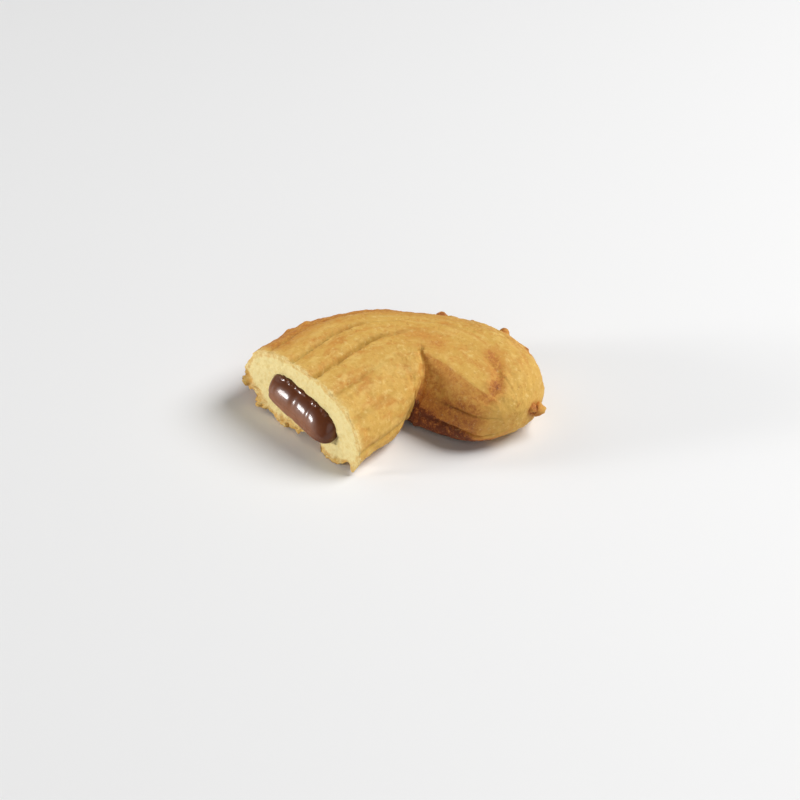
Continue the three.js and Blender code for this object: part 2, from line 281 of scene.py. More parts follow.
bpy.ops.object.mode_set(mode="OBJECT")

# Each point also keeps how far round the rope it lies, as a direction, which has no seam.
ring_numbers = np.zeros(len(dough.data.vertices), dtype=np.int32)
dough.data.attributes["ring_number"].data.foreach_get("value", ring_numbers)
turns = 2 * math.pi * ROUND[ring_numbers]
turn = np.column_stack((np.cos(turns), np.sin(turns), np.zeros(len(turns))))
dough.data.attributes.new("turn", "FLOAT_VECTOR", "POINT").data.foreach_set("vector", turn.ravel())
apply_modifier(dough, "SUBSURF", levels=2, render_levels=2)

# The nozzle's teeth leave grooves between rounded ridges. Each groove has its own depth along the rope,
# because the fold stretches the outer side smooth and the wall of the crease is nipped flat.
GROOVE_LINES = np.array((0.043, 0.126, 0.210, 0.293, 0.376, 0.456, 0.533, 0.608, 0.684, 0.768, 0.861, 0.960))
DEPTH_DISTANCES = (0, 3, 8, 13, 17, 22, 27, 32, 37, 41.5)
GROOVE_DEPTHS = (
    (0.60, 0.60, 0.60, 0.60, 0.60, 0.60, 0.60, 0.50, 0.20, 0.00),
    (0.60, 0.60, 0.60, 0.60, 0.60, 0.60, 0.60, 0.50, 0.20, 0.00),
    (0.45, 0.45, 0.42, 0.40, 0.38, 0.32, 0.26, 0.20, 0.12, 0.00),
    (0.35, 0.35, 0.32, 0.30, 0.28, 0.24, 0.18, 0.12, 0.05, 0.00),
    (0.30, 0.30, 0.28, 0.24, 0.20, 0.16, 0.14, 0.10, 0.05, 0.00),
    (0.40, 0.50, 0.50, 0.38, 0.10, 0.05, 0.03, 0.03, 0.00, 0.00),
    (0.60, 0.75, 0.75, 0.62, 0.22, 0.06, 0.05, 0.06, 0.05, 0.00),
    (0.20, 0.22, 0.18, 0.03, 0.00, 0.00, 0.00, 0.00, 0.00, 0.00),
    (0.20, 0.18, 0.12, 0.03, 0.00, 0.00, 0.00, 0.00, 0.30, 0.08),
    (0.22, 0.20, 0.14, 0.03, 0.00, 0.00, 0.00, 0.02, 0.36, 0.10),
    (0.50, 0.48, 0.30, 0.05, 0.00, 0.00, 0.20, 0.42, 0.25, 0.00),
    (0.60, 0.60, 0.60, 0.60, 0.60, 0.60, 0.60, 0.50, 0.20, 0.00),
)
SLIT_DEPTHS = (0, 0, 0.1, 0.1, 0.1, 0.55, 0.70, 0.18, 0.2, 0.25, 0.1, 0)  # the torn bottom of each groove
SLIT_WIDTH = 0.32
RIDGE_WIDTH = 5.1
RIDGE_ROUNDNESS = 1.6
RIDGE_SWELL = 0.14
GROOVE_SHADE_WIDTH = 0.45

# Past the fold the middle groove drifts, and so do the two on the inner wall.
MIDDLE_GROOVE, UPPER_WALL_GROOVE, LOWER_WALL_GROOVE = 6, 8, 9
MIDDLE_DRIFT = ((0, 12, 17, 19, 21, 25, 27, 33), (0, 0, -0.008, -0.018, -0.031, -0.030, -0.021, -0.022))
UPPER_WALL_DRIFT = 0.024
LOWER_WALL_DRIFT = ((30, 37, 38.5, 40, 41), (0.0, 0.004, 0.012, 0.034, 0.045))


def read_points(piece):
    """The places of a piece's points, in millimetres, and their normals."""
    places, normals = np.zeros(len(piece.data.vertices) * 3), np.zeros(len(piece.data.vertices) * 3)
    piece.data.vertices.foreach_get("co", places)
    piece.data.vertices.foreach_get("normal", normals)
    return places.reshape(-1, 3) / MM, normals.reshape(-1, 3)


def read_skin(piece):
    """How far along the rope each point of a piece lies, and its share of the way round."""
    along, turn = np.zeros(len(piece.data.vertices)), np.zeros(len(piece.data.vertices) * 3)
    piece.data.attributes["along"].data.foreach_get("value", along)
    piece.data.attributes["turn"].data.foreach_get("vector", turn)
    turn = turn.reshape(-1, 3)
    return along, np.arctan2(turn[:, 1], turn[:, 0]) / (2 * math.pi) % 1


def write_points(piece, places):
    """Puts a piece's points in their places, with none below the tray."""
    places = places.copy()
    places[:, 2] = np.maximum(places[:, 2], 0)
    piece.data.vertices.foreach_set("co", (places * MM).ravel())
    piece.data.update()


def keep_values(piece, name, values):
    """Keeps a value for each point of a piece, which its material reads."""
    piece.data.attributes.new(name, "FLOAT", "POINT").data.foreach_set("value", values)


def wander(x, seed):
    """A smooth uneven value between -1 and 1."""
    return (np.sin(1.3 * x + 2.1 * seed) + np.sin(2.9 * x + 1.7 * seed) * 0.6 + np.sin(5.3 * x + seed) * 0.4) / 2


def nearness(places, centre, radius):
    """1 at a centre, falling away over the radius."""
    return np.exp(-(np.linalg.norm(places - centre, axis=1) / radius) ** 2)


places, normals = read_points(dough)
along, share = read_skin(dough)
skin = along >= -0.01
distance = np.maximum(along, 0)
middle_line = GROOVE_LINES[MIDDLE_GROOVE] + np.interp(distance, *MIDDLE_DRIFT)
lines = np.tile(GROOVE_LINES, (len(share), 1))
lines[:, MIDDLE_GROOVE] = middle_line
lines[:, UPPER_WALL_GROOVE] += UPPER_WALL_DRIFT * smooth(distance, 24, 30)
lines[:, LOWER_WALL_GROOVE] += np.interp(distance, *LOWER_WALL_DRIFT)
lines = np.column_stack((lines, lines[:, 0] + 1))
round_share = np.where(share < lines[:, 0], share + 1, share)
ridge = (round_share[:, None] >= lines[:, :-1]).sum(1) - 1
before = lines[np.arange(len(share)), ridge]
after = lines[np.arange(len(share)), ridge + 1]
across_ridge = (round_share - before) / (after - before)
nearer = np.where(across_ridge < 0.5, ridge, ridge + 1) % len(GROOVE_LINES)
depth_along = np.array([np.interp(distance, DEPTH_DISTANCES, depths) for depths in GROOVE_DEPTHS])
depth = depth_along[nearer, np.arange(len(share))]
crest = np.sin(math.pi * across_ridge)
from_groove = np.minimum(across_ridge, 1 - across_ridge) * RIDGE_WIDTH
slit = np.array(SLIT_DEPTHS)[nearer] * np.clip(depth / 0.3, 0, 1) * np.exp(-(from_groove / SLIT_WIDTH) ** 2)
slit *= 0.9 + 0.25 * wander(0.8 * distance, nearer)
hollow = depth * (1 - crest) ** RIDGE_ROUNDNESS * (1 + 0.15 * wander(0.9 * distance, nearer)) + slit
hollow += RIDGE_SWELL * np.sin(0.55 * distance + 2.4 * ridge) * np.sin(0.21 * distance + 1.1 * ridge) * crest ** 2

# Past the fold the middle groove also runs on as a thin raised line, with a hollow on its inner side.
SEAM_GIRTH = 62  # the way round the rope where it runs, in millimetres
SEAM_HEIGHT = 0.14
SEAM_HOLLOW = 0.16
on_seam = smooth(distance, 14, 18) * (1 - smooth(distance, 30, 34)) * (share > 0.4) * (share < 0.65)
from_seam = (share - middle_line) * SEAM_GIRTH
hollow -= SEAM_HEIGHT * on_seam * np.exp(-(from_seam / 0.3) ** 2)
hollow += SEAM_HOLLOW * on_seam * np.exp(-((from_seam - 1.1) / 0.6) ** 2)

# The inner side of the forearm falls away in a facet under a shoulder. The fold nips it against the arm in a
# sharp crease that climbs onto the top, given by distance along and share round, with a low lip beside it.
FOREARM_GIRTH = 50
SHOULDER_SHARE = 0.609
FACET_BELOW = (-3.0, -1.6, -0.6, 0.0, 0.4, 2.2, 4.2, 7.0, 12.0)
FACET_DEPTHS = (0.0, -0.05, -0.18, -0.28, -0.16, 0.42, 0.55, 0.40, 0.0)
CREASE = ((21.6, 0.602), (21.9, 0.620), (22.2, 0.645), (22.3, 0.670), (21.9, 0.700), (21.5, 0.717),
          (20.2, 0.745), (19.0, 0.786))
CREASE_DEPTH, CREASE_WIDTH = 0.36, 0.28
LIP_HEIGHT, LIP_AWAY, LIP_WIDTH = 0.12, 0.9, 0.6
FAR_OFF = 9.0


def crease_at(share):
    """How far along the rope the crease lies, at a share of the way round."""
    return np.interp(share, *np.array(sorted((place_share, s) for s, place_share in CREASE)).T)


past_crease = np.where((share > 0.595) & (share < 0.80), distance - crease_at(share), distance - 22.2)
on_forearm = smooth(past_crease, 0.1, 0.9) * (1 - smooth(distance, 36.5, 39.5)) * skin
below_shoulder = (share - SHOULDER_SHARE) * FOREARM_GIRTH
hollow += on_forearm * np.interp(below_shoulder, FACET_BELOW, FACET_DEPTHS)
crease_points = np.array([INNER_CORNER + on_skin(s, place_share) for s, place_share in CREASE])
crease_walk = np.cumsum((0, *np.linalg.norm(np.diff(crease_points, axis=0), axis=1)))
fine_walk = np.linspace(0, crease_walk[-1], 60)
crease_fine = np.array([np.interp(fine_walk, crease_walk, crease_points[:, axis]) for axis in range(3)]).T
near_crease = skin & (distance > 15) & (distance < 30) & (share > 0.56) & (share < 0.82)
from_crease = np.full(len(share), FAR_OFF)
from_crease[near_crease] = np.linalg.norm(places[near_crease][:, None] - crease_fine[None], axis=2).min(1)
from_crease = np.where(distance < crease_at(share), -from_crease, from_crease)
hollow += CREASE_DEPTH * np.exp(-(from_crease / CREASE_WIDTH) ** 2) * (0.7 + 0.3 * smooth(share, 0.62, 0.66))
hollow -= LIP_HEIGHT * np.exp(-((from_crease + LIP_AWAY) / LIP_WIDTH) ** 2)
hollow *= 1 - smooth(distance, 40.6, 41.4)  # the very tip stays smooth
places -= normals * (hollow * skin)[:, None]
# The bottoms of the grooves are kept for the painted shade that darkens them.
keep_values(dough, "groove", np.exp(-(from_groove / GROOVE_SHADE_WIDTH) ** 2) * np.clip(depth / 0.4, 0, 1) * skin)

# The cut has torn the lower edge: how far it is lifted off the tray at a distance from the inner side.
TORN_EDGE = np.array((
    (-1, 0), (1.5, 0), (2.4, 0.5), (3.6, 0.1), (7.4, 0), (8.1, 1.2), (9.4, 0.9), (10.4, 1.35), (11.4, 1.2),
    (13.9, 0.3), (16.6, 0), (17.3, 0.5), (18.4, 0.35), (19.1, 0.7), (20.2, 0.1), (21.4, 0.1), (22.0, 0.9),
    (23.0, 1.0), (26, 0.4),
))
TORN_HEIGHT = 3.4
cut_foot, cut_heading = plan_at(0)
cut_way = np.array((*heading_way(cut_heading), 0.0))
cut_across = np.array((*heading_way(cut_heading + 90), 0.0))
cut_normal = -cut_way
cut_place = INNER_CORNER + np.array((*cut_foot, 0.0))
aside = (places - cut_place) @ cut_across
behind = (places - cut_place) @ cut_way
lifted = np.interp(aside, *TORN_EDGE.T) * (1 - smooth(behind, 0.3, 2.4))
lifted *= np.clip(1 - places[:, 2] / TORN_HEIGHT, 0, 1)
places[:, 2] += lifted * (along > -1) * (distance < 4)

# Bits of dough that the knife has dragged along: distance from the inner side, height, radius, and how far they
# are pulled aside, out and up.
DRAGGED = (
    (0.9, 0.9, 0.8, -0.35, 0.85, -0.9), (5.9, 0.6, 1.3, -0.45, 0.7, -0.5), (4.2, 0.5, 1.0, -0.2, 0.35, -0.4),
    (7.6, 0.5, 0.7, 0.2, 0.15, -0.3), (12.9, 0.9, 0.9, 0.1, 0.1, -0.35), (15.6, 0.6, 1.1, 0.0, 0.3, -0.2),
    (17.9, 0.7, 0.5, 0.0, 0.15, -0.3), (20.9, 0.7, 1.0, 0.2, 0.3, -0.3), (24.0, 3.0, 0.9, 0.45, 0.25, -0.1),
    (22.9, 1.6, 0.7, -0.2, 0.1, 0.2),
)
for bit_aside, height, radius, by, out, up in DRAGGED:
    weight = nearness(places, cut_place + bit_aside * cut_across + (0, 0, height), radius) * (along > -1)
    places += weight[:, None] * (by * cut_across + out * cut_normal + (0, 0, up))

# Dents of the finger round the tip, blisters and pits of baking beside them, and shallow dents on the top of the
# fold: distance along, share round, radius, height. Then small dabs by chance, with more of them on the back:
# how many, and the least and the most of the same four values.
TIP_DENTS = (
    (33.6, 0.490, 1.0, -0.22), (35.0, 0.494, 1.1, -0.28), (36.6, 0.507, 1.2, -0.32), (38.0, 0.531, 1.2, -0.36),
    (38.9, 0.556, 1.1, -0.34), (39.3, 0.585, 1.0, -0.32), (39.3, 0.617, 0.9, -0.25),
)
BLISTERS = (
    (38.2, 0.508, 0.55, 0.34), (37.7, 0.581, 0.45, 0.28), (39.7, 0.617, 0.5, 0.32),
    (34.4, 0.478, 0.4, -0.26), (37.7, 0.525, 0.4, -0.26),
)
TOP_DENTS = ((20.3, 0.528, 1.2, -0.12), (23.6, 0.536, 1.3, -0.12), (26.0, 0.556, 1.2, -0.1))
CHANCE_DABS = (
    (150, (0.5, 41), (0.16, 0.86), (0.3, 0.8), (-0.13, 0.15)),
    (34, (3, 40), (0.26, 0.38), (0.5, 0.9), (-0.16, 0.22)),
)
LEAST_DAB = math.exp(-2.2 ** 2)  # a dab ends at 2.2 times its radius
chance = np.random.default_rng(11)
dabs = [*TIP_DENTS, *BLISTERS, *TOP_DENTS]
for count, *ranges in CHANCE_DABS:
    for _ in range(count):
        dabs.append([chance.uniform(least, most) for least, most in ranges])
for s, place_share, radius, height in dabs:
    weight = nearness(places, INNER_CORNER + on_skin(s, place_share), radius)
    near = (weight > LEAST_DAB) & skin
    places[near] += normals[near] * (height * weight[near])[:, None]
write_points(dough, places)

# Knobs of crust are baked on at a distance along and a share round, and crags on the cut at a distance from its
# inner side and a height. Then how far they stand out, the radius and a stretch.
KNOBS = (
    (30.1, 0.335, 0.05, 0.68, 1.3), (40.95, 0.235, 0.55, 0.95, 1.3), (41.2, 0.27, 0.15, 0.7, 0.8),
    (24.2, 0.335, -0.52, 0.9, 1.5), (27.0, 0.335, -0.12, 0.4, 1.6), (20.6, 0.33, -0.25, 0.6, 1.7),
    (33.5, 0.33, -0.15, 0.45, 1.4),
)
CRAGS = ((5.9, 0.35, 0.25, 0.55, 1.3), (15.2, 0.45, 0.0, 0.5, 1.4), (20.9, 0.55, 0.1, 0.5, 1.2),
         (24.2, 2.9, -0.2, 0.55, 1.0))
LUMP_FLATNESS = 0.85
LARGE_LUMP = 0.7


def knob_place(s, share, out):
    """A place that stands out from the rope's skin, straight away from the middle of the rope."""
    skin_place = on_skin(s, share)
    outward = skin_place - (on_skin(s, share - 0.25) + on_skin(s, share + 0.25)) / 2
    return skin_place + outward / np.linalg.norm(outward) * out


def grain_texture(name, kind, size):
    """Uneven relief with grains of about this size in millimetres."""
    texture = bpy.data.textures.new(name, kind)
    texture.noise_scale = size * MM
    if kind == "CLOUDS":
        texture.noise_depth = 2
    return texture


lumps = [(knob_place(s, place_share, out), radius, stretch) for s, place_share, out, radius, stretch in KNOBS]
for crag_aside, height, out, radius, stretch in CRAGS:
    plan = cut_foot + crag_aside * heading_way(cut_heading + 90) - out * heading_way(cut_heading)
    lumps.append((np.array((*plan, height)), radius, stretch))
lump_pieces = []
for place, radius, stretch in lumps:
    bpy.ops.mesh.primitive_ico_sphere_add(subdivisions=3 if radius > LARGE_LUMP else 2, radius=radius * MM,
                                          location=(INNER_CORNER + place) * MM)
    bpy.ops.transform.resize(value=(1, stretch, LUMP_FLATNESS))
    bpy.ops.object.transform_apply(location=True, rotation=False, scale=True)
    lump_pieces.append(bpy.context.object)
for piece in lump_pieces:
    piece.select_set(True)
bpy.ops.object.join()
crumbs = bpy.context.object
apply_modifier(crumbs, "DISPLACE", texture=grain_texture("crumb_lumps", "CLOUDS", 0.75), texture_coords="GLOBAL",
               strength=0.95 * MM)
bpy.ops.object.select_all(action="DESELECT")
bpy.context.view_layer.objects.active = dough
dough.select_set(True)
apply_modifier(dough, "BOOLEAN", operation="UNION", solver="MANIFOLD", object=crumbs)
bpy.data.objects.remove(crumbs)

# The baked grain of the skin, the crumb of the cut, and the granules of its torn lower edge, each with a size
# and a strength. The torn edge reaches up to a height that changes with the distance from the inner side.
GRAINS = (
    ("swells", "CLOUDS", 3.2, 0.34, "grain"),
    ("grain", "CLOUDS", 0.9, 0.24, "grain"),
    ("fine_grain", "CLOUDS", 0.45, 0.05, "grain"),
    ("crumb", "VORONOI", 0.55, -0.16, "crumb"),
    ("ledges", "CLOUDS", 1.5, 0.9, "torn"),
    ("granules", "VORONOI", 0.9, -0.9, "torn"),
)
TORN_TOP = ((0, 2, 4, 8, 12, 14, 16, 18, 20, 22, 24), (1.0, 1.1, 0.7, 1.0, 1.8, 2.0, 1.5, 0.9, 2.2, 3.2, 5.0))
places, _ = read_points(dough)
along, _ = read_skin(dough)
from_corner = np.linalg.norm(places[:, :2] - INNER_CORNER[:2], axis=1)
behind = (places - cut_place) @ cut_way
torn_top = np.interp((places - cut_place) @ cut_across, *TORN_TOP)
open_skin = along > -1.01
free = smooth(from_corner, 0.3, 3.0) * open_skin
torn = (1 - smooth(places[:, 2], torn_top - 0.9, torn_top + 0.3)) * (1 - smooth(behind, 0.4, 1.6)) * open_skin
broken = (along < 0.05) * (along > -0.97) * (1 - smooth(np.abs(behind), 0.4, 0.9))
for group_name, weights in (("grain", free), ("crumb", broken), ("torn", torn)):
    group = dough.vertex_groups.new(name=group_name)
    rounded = np.round(weights, 2)
    for level in np.unique(rounded):
        group.add(np.flatnonzero(rounded == level).tolist(), float(level), "REPLACE")
for name, kind, size, strength, group_name in GRAINS:
    apply_modifier(dough, "DISPLACE", texture=grain_texture(name, kind, size), texture_coords="GLOBAL",
                   vertex_group=group_name, strength=strength * MM)
bpy.ops.object.shade_smooth()
dough.vertex_groups.clear()
write_points(dough, read_points(dough)[0])

# Colour follows the oven: the crumb is pale, the skin golden, and the thin edges are the brownest. The wall of the
#  crease is also painted darker and redder, as painted shade on top of its real browning. Crumb and pale rim are
#  kept from 0 to 1, and browning with the painted shade from 0 to 3.
FOOT_BROWN = 0.55
OUTER_SIDE_BROWN = 0.95
WALL_BROWN_AND_SHADE, LOWER_WALL_BROWN_AND_SHADE = 0.72, 0.10
BROWN_SHADE_BAND, DARK_SHADE_BAND = 0.55, 2.1
BROWN_SHADE_LINE = ((20, 27, 33, 34.4, 36.1, 37.9, 40), (0.700, 0.703, 0.706, 0.694, 0.683, 0.674, 0.670))
DARK_SHADE_LINE = ((20, 32.5, 35, 36.9, 38.2, 40), (0.745, 0.758, 0.772, 0.780, 0.790, 0.830))
DENT_BROWN, INNER_DENT_BROWN = 0.95, 0.3
TOP_DENT_BROWN = 0.5
KNOB_BROWN = 2.2
MOST_BROWN = 3
RIM_CRUMB = 0.42

places, _ = read_points(dough)
along, share = read_skin(dough)
behind = (places - cut_place) @ cut_way
rim_tree = KDTree(RING_POINTS * 4)
fine_rim = INNER_CORNER + rope_ring(0, np.linspace(0, 1, RING_POINTS * 4, endpoint=False))
for number, point in enumerate(fine_rim):
    rim_tree.insert(Vector(point), number)
rim_tree.balance()
from_rim = np.full(len(places), FAR_OFF)
close = behind < 1.0
from_rim[close] = [rim_tree.find(Vector(point))[2] for point in places[close]]
on_face = close & (behind < 0.25) & (along < 0.05)
crumb = np.where(on_face, smooth(from_rim, 0.1, 1.3), 0.0)
crumb[along < -1] = 1
crumb = np.maximum(crumb, RIM_CRUMB * (1 - smooth(behind, 0.0, 0.9)) * (along > -1))

browning_and_shade = FOOT_BROWN * (1 - smooth(places[:, 2], 0.2, 1.6))
browning_and_shade += OUTER_SIDE_BROWN * smooth(share, 0.12, 0.2) * (1 - smooth(share, 0.36, 0.45)) * (1 - smooth(along, 20, 30))
# Painted shade: the wall of the crease under the shoulder is darkened in bands, darkest towards its foot, on top of
# its real browning.
nipped = smooth(along - crease_at(share), -0.1, 0.5) * (1 - 0.85 * smooth(along, 38.5, 41.0))
nipped *= 1 - smooth(share, 0.88, 0.93)
past_brown = smooth(share - np.interp(along, *BROWN_SHADE_LINE), -0.012, 0.015)
past_dark = smooth(share - np.interp(along, *DARK_SHADE_LINE), -0.018, 0.012)
browning_and_shade += nipped * (WALL_BROWN_AND_SHADE * smooth(share, 0.611, 0.6155) + LOWER_WALL_BROWN_AND_SHADE * smooth(share, 0.64, 0.69))
browning_and_shade += nipped * (BROWN_SHADE_BAND * past_brown + DARK_SHADE_BAND * past_dark)
browned = [(s, place_share, DENT_BROWN if place_share < 0.6 else INNER_DENT_BROWN, 1.1)
           for s, place_share, _, _ in TIP_DENTS]
browned += [(s, place_share, TOP_DENT_BROWN, 1.6) for s, place_share, _, _ in TOP_DENTS]
browned += [(s, place_share, KNOB_BROWN, 1.05 * radius) for s, place_share, _, radius, _ in KNOBS]
for s, place_share, amount, radius in browned:
    browning_and_shade += amount * nearness(places, INNER_CORNER + on_skin(s, place_share), radius)

pale_rim = (1 - smooth(behind, 0.1, 1.8)) * (1 - crumb) * (along > -1)
torn_top = np.interp((places - cut_place) @ cut_across, *TORN_TOP)
torn_here = 1 - smooth(places[:, 2], torn_top - 0.5, torn_top + 0.7)
torn_here *= (1 - smooth(behind, 0.5, 1.8)) * (along > -1)
keep_values(dough, "crumb", crumb * (1 - 0.55 * torn_here))
keep_values(dough, "browning_and_shade", np.clip(browning_and_shade, 0, MOST_BROWN) * (1 - 0.6 * pale_rim) * (1 - 0.5 * torn_here))
keep_values(dough, "pale_rim", pale_rim)


def set_or_link(tree, socket, value):
    if isinstance(value, bpy.types.NodeSocket):
        tree.links.new(value, socket)
    else:
        socket.default_value = value


def add_node(tree, kind, inputs=None, **settings):
    """Adds a shader node, sets its options, and sets or links its inputs."""
    node = tree.nodes.new(kind)
    for option, value in settings.items():
        setattr(node, option, value)
    for socket, value in (inputs or {}).items():
        set_or_link(tree, node.inputs[socket], value)
    return node


def kept_value(tree, name, output="Fac"):
    """What each point of the piece keeps under this name."""
    return add_node(tree, "ShaderNodeAttribute", attribute_name=name).outputs[output]


def noise(tree, where, size, detail=3.0, roughness=0.55):
    """Cloudy values with spots of about this size in millimetres."""
    return add_node(tree, "ShaderNodeTexNoise", {"Vector": where, "Scale": 1 / (size * MM), "Detail": detail,
                                                 "Roughness": roughness}).outputs["Fac"]


def spread(tree, value, start, end, low=0.0, high=1.0):
    """Stretches the values between start and end to reach from low to high."""
    return add_node(tree, "ShaderNodeMapRange", {"Value": value, "From Min": start, "From Max": end,
                                                 "To Min": low, "To Max": high}).outputs["Result"]


def blend(tree, share, first, second, way="MIX"):
    """Blends two colours."""
    node = add_node(tree, "ShaderNodeMix", {0: share, 6: first, 7: second}, data_type="RGBA", blend_type=way)
    return node.outputs[2]


def combine(tree, first, second, way="MULTIPLY"):
    """Multiplies two values, or combines them in another way."""
    return add_node(tree, "ShaderNodeMath", {0: first, 1: second}, operation=way).outputs[0]


def new_material(name):
    """A material with a bare surface, and the place on the piece for its patterns."""
    material = bpy.data.materials.new(name)
    material.use_nodes = True
    tree = material.node_tree
    tree.nodes.clear()
    surface = add_node(tree, "ShaderNodeBsdfPrincipled")
    add_node(tree, "ShaderNodeOutputMaterial", {"Surface": surface.outputs[0]})
    return material, tree, surface, add_node(tree, "ShaderNodeTexCoord").outputs["Object"]


def finish_surface(tree, surface, colour, roughness, specular, relief, strength, depth):
    """Gives a surface its colour, gloss and fine relief, with the relief's depth in millimetres."""
    tree.links.new(colour, surface.inputs["Base Color"])
    tree.links.new(roughness, surface.inputs["Roughness"])
    surface.inputs["Specular IOR Level"].default_value = specular
    bump = add_node(tree, "ShaderNodeBump", {"Height": relief, "Strength": strength, "Distance": depth * MM})
    tree.links.new(bump.outputs[0], surface.inputs["Normal"])


CRUST_GOLD = (0.680, 0.400, 0.088, 1)
CRUST_PALE = (0.785, 0.520, 0.148, 1)
CRUST_BROWN = (0.600, 0.252, 0.046, 1)
CRUST_DARK = (0.400, 0.125, 0.030, 1)
CRUST_DARKEST = (0.160, 0.040, 0.014, 1)
GROOVE_SHADE = (0.74, 0.76, 0.66, 1)
CRUMB_PALE = (0.900, 0.740, 0.345, 1)
CRUMB_DEEP = (0.800, 0.580, 0.200, 1)
ROPE_RADIUS = 9.0
DRAWN_OUT = 0.35  # the blotches' width over their length

baked, tree, surface, place = new_material("golden_baked_shortcrust")
browning_and_shade_here, crumb_here = kept_value(tree, "browning_and_shade"), kept_value(tree, "crumb")
along_here, turn_here = kept_value(tree, "along"), kept_value(tree, "turn", "Vector")

# The nozzle draws the dough out, so its blotches are three times as long along the rope as across it. They fade
#  at the tip, where the crust is browned, and under the painted shade of the crease.
across_here = add_node(tree, "ShaderNodeVectorMath", {0: turn_here, 1: (ROPE_RADIUS * MM,) * 3},
                       operation="MULTIPLY").outputs[0]
across_parts = add_node(tree, "ShaderNodeSeparateXYZ", {0: across_here}).outputs
drawn_place = add_node(tree, "ShaderNodeCombineXYZ", {0: combine(tree, along_here, DRAWN_OUT * MM),
                                                      1: across_parts[0], 2: across_parts[1]}).outputs[0]
drawn = combine(tree, spread(tree, along_here, 35.0, 40.0, 1.0, 0.0), spread(tree, browning_and_shade_here, 0.3, 1.0, 1.0, 0.0))
streaks = spread(tree, noise(tree, drawn_place, 1.7, 4, 0.55), 0.49, 0.64, 0, 0.75)
pale_streaks = spread(tree, noise(tree, drawn_place, 1.2, 3, 0.5), 0.52, 0.66, 0, 0.7)
tan_spots = spread(tree, noise(tree, place, 1.3, 5, 0.7), 0.52, 0.66, 0, 0.5)
pale_speckle = spread(tree, noise(tree, place, 0.7, 5, 0.75), 0.50, 0.64, 0, 0.6)
crust = blend(tree, combine(tree, streaks, drawn), CRUST_GOLD, CRUST_BROWN)
crust = blend(tree, combine(tree, pale_streaks, drawn), crust, CRUST_PALE)
crust = blend(tree, tan_spots, crust, CRUST_BROWN)
crust = blend(tree, pale_speckle, crust, CRUST_PALE)

# The oven's browning and the painted shade of the crease are blotchy, and mottled in small spots. The rim stays paler,
# and dark specks lie all over.
blotch = spread(tree, noise(tree, place, 1.4, 5, 0.7), 0.3, 0.7, 0.6, 1.4)
mottling = spread(tree, noise(tree, place, 0.5, 5, 0.8), 0.36, 0.64, 0.45, 1.5)
brown_share = combine(tree, combine(tree, browning_and_shade_here, blotch), mottling)
dark_specks = spread(tree, noise(tree, place, 0.6, 4, 0.7), 0.58, 0.72, 0, 0.5)
crust = blend(tree, spread(tree, brown_share, 0, 1), crust, CRUST_BROWN)
crust = blend(tree, spread(tree, brown_share, 0.7, 1.8, 0, 0.9), crust, CRUST_DARK)
crust = blend(tree, spread(tree, brown_share, 1.8, 2.8, 0, 1), crust, CRUST_DARKEST)
crust = blend(tree, combine(tree, kept_value(tree, "pale_rim"), 0.6), crust, CRUST_PALE)
crust = blend(tree, dark_specks, crust, CRUST_DARK)
# Painted shade darkens the bottoms of the grooves.
crust = blend(tree, kept_value(tree, "groove"), crust, blend(tree, 1.0, crust, GROOVE_SHADE, "MULTIPLY"))

# The crumb has deeper patches and a ragged border with the crust, and it is coarser.
deep_patches = spread(tree, noise(tree, place, 0.6, 5, 0.75), 0.48, 0.68, 0, 0.75)
crumb_edge = spread(tree, noise(tree, place, 0.7, 4, 0.7), 0.3, 0.7, -0.3, 0.3)
ragged_crumb = spread(tree, combine(tree, crumb_here, crumb_edge, "ADD"), 0.15, 0.7)
coarseness = spread(tree, crumb_here, 0, 1, 1.0, 2.2)
finish_surface(
    tree, surface, colour=blend(tree, ragged_crumb, crust, blend(tree, deep_patches, CRUMB_PALE, CRUMB_DEEP)),
    roughness=spread(tree, noise(tree, place, 0.6, 3), 0.3, 0.7, 0.62, 0.82), specular=0.3,
    relief=combine(tree, noise(tree, place, 0.45, 5, 0.65), coarseness), strength=0.55, depth=0.18,
)
dough.data.materials.clear()
dough.data.materials.append(baked)
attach(dough, "root")
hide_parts("biscuit_dough")


# ---------------------------------------------------------------------------------------------
# The cocoa cream. It is piped in the same stroke as the dough and stays soft, so the cut squeezes it out
# into a glossy roll that hangs a little and smears along its upper edge.
# ---------------------------------------------------------------------------------------------
CREAM_POINTS = 60
CREAM_BULGE = 2.0
CREAM_SAG = 1.0
CREAM_LIP = 0.06
BULGE_ROWS = 9
END_ROUND = 0.72
CREAM_ANGLES = np.linspace(0, 2 * math.pi, CREAM_POINTS, endpoint=False)
CREAM_DISTANCES = np.concatenate((np.linspace(0, 3, 6), np.linspace(4.5, CHANNEL_END, 14)))

cream_rings = []
for round_turn in np.linspace(math.pi / 2, 0, BULGE_ROWS, endpoint=False):
    narrow, out = math.cos(round_turn), math.sin(round_turn)
    shrink = (1 - END_ROUND * CHANNEL_HEIGHT / CHANNEL_WIDTH * (1 - narrow), narrow)
    cream_rings.append(core_ring(0, CREAM_ANGLES, CREAM_LIP, shrink, CREAM_BULGE * out, CREAM_SAG * out))
for s in CREAM_DISTANCES:
    cream_rings.append(core_ring(s, CREAM_ANGLES, CREAM_LIP * (1 - smooth(s, 1, 3))))
bpy.ops.object.select_all(action="DESELECT")
cream = start_piece("cocoa_cream_core", CREAM_POINTS, CHANNEL_WIDTH)
lay_ring(cream_rings[0], 0)
for number, ring in enumerate(cream_rings[1:], 1):
    bpy.ops.mesh.extrude_edges_move()
    lay_ring(ring, number)
bpy.ops.mesh.edge_face_add()
pick_first(CREAM_POINTS)
bpy.ops.mesh.remove_doubles(threshold=0.001 * MM)
bpy.ops.mesh.select_all(action="SELECT")
bpy.ops.mesh.normals_make_consistent(inside=False)
bpy.ops.object.mode_set(mode="OBJECT")
apply_modifier(cream, "SUBSURF", levels=2, render_levels=2)
bpy.ops.object.shade_smooth()

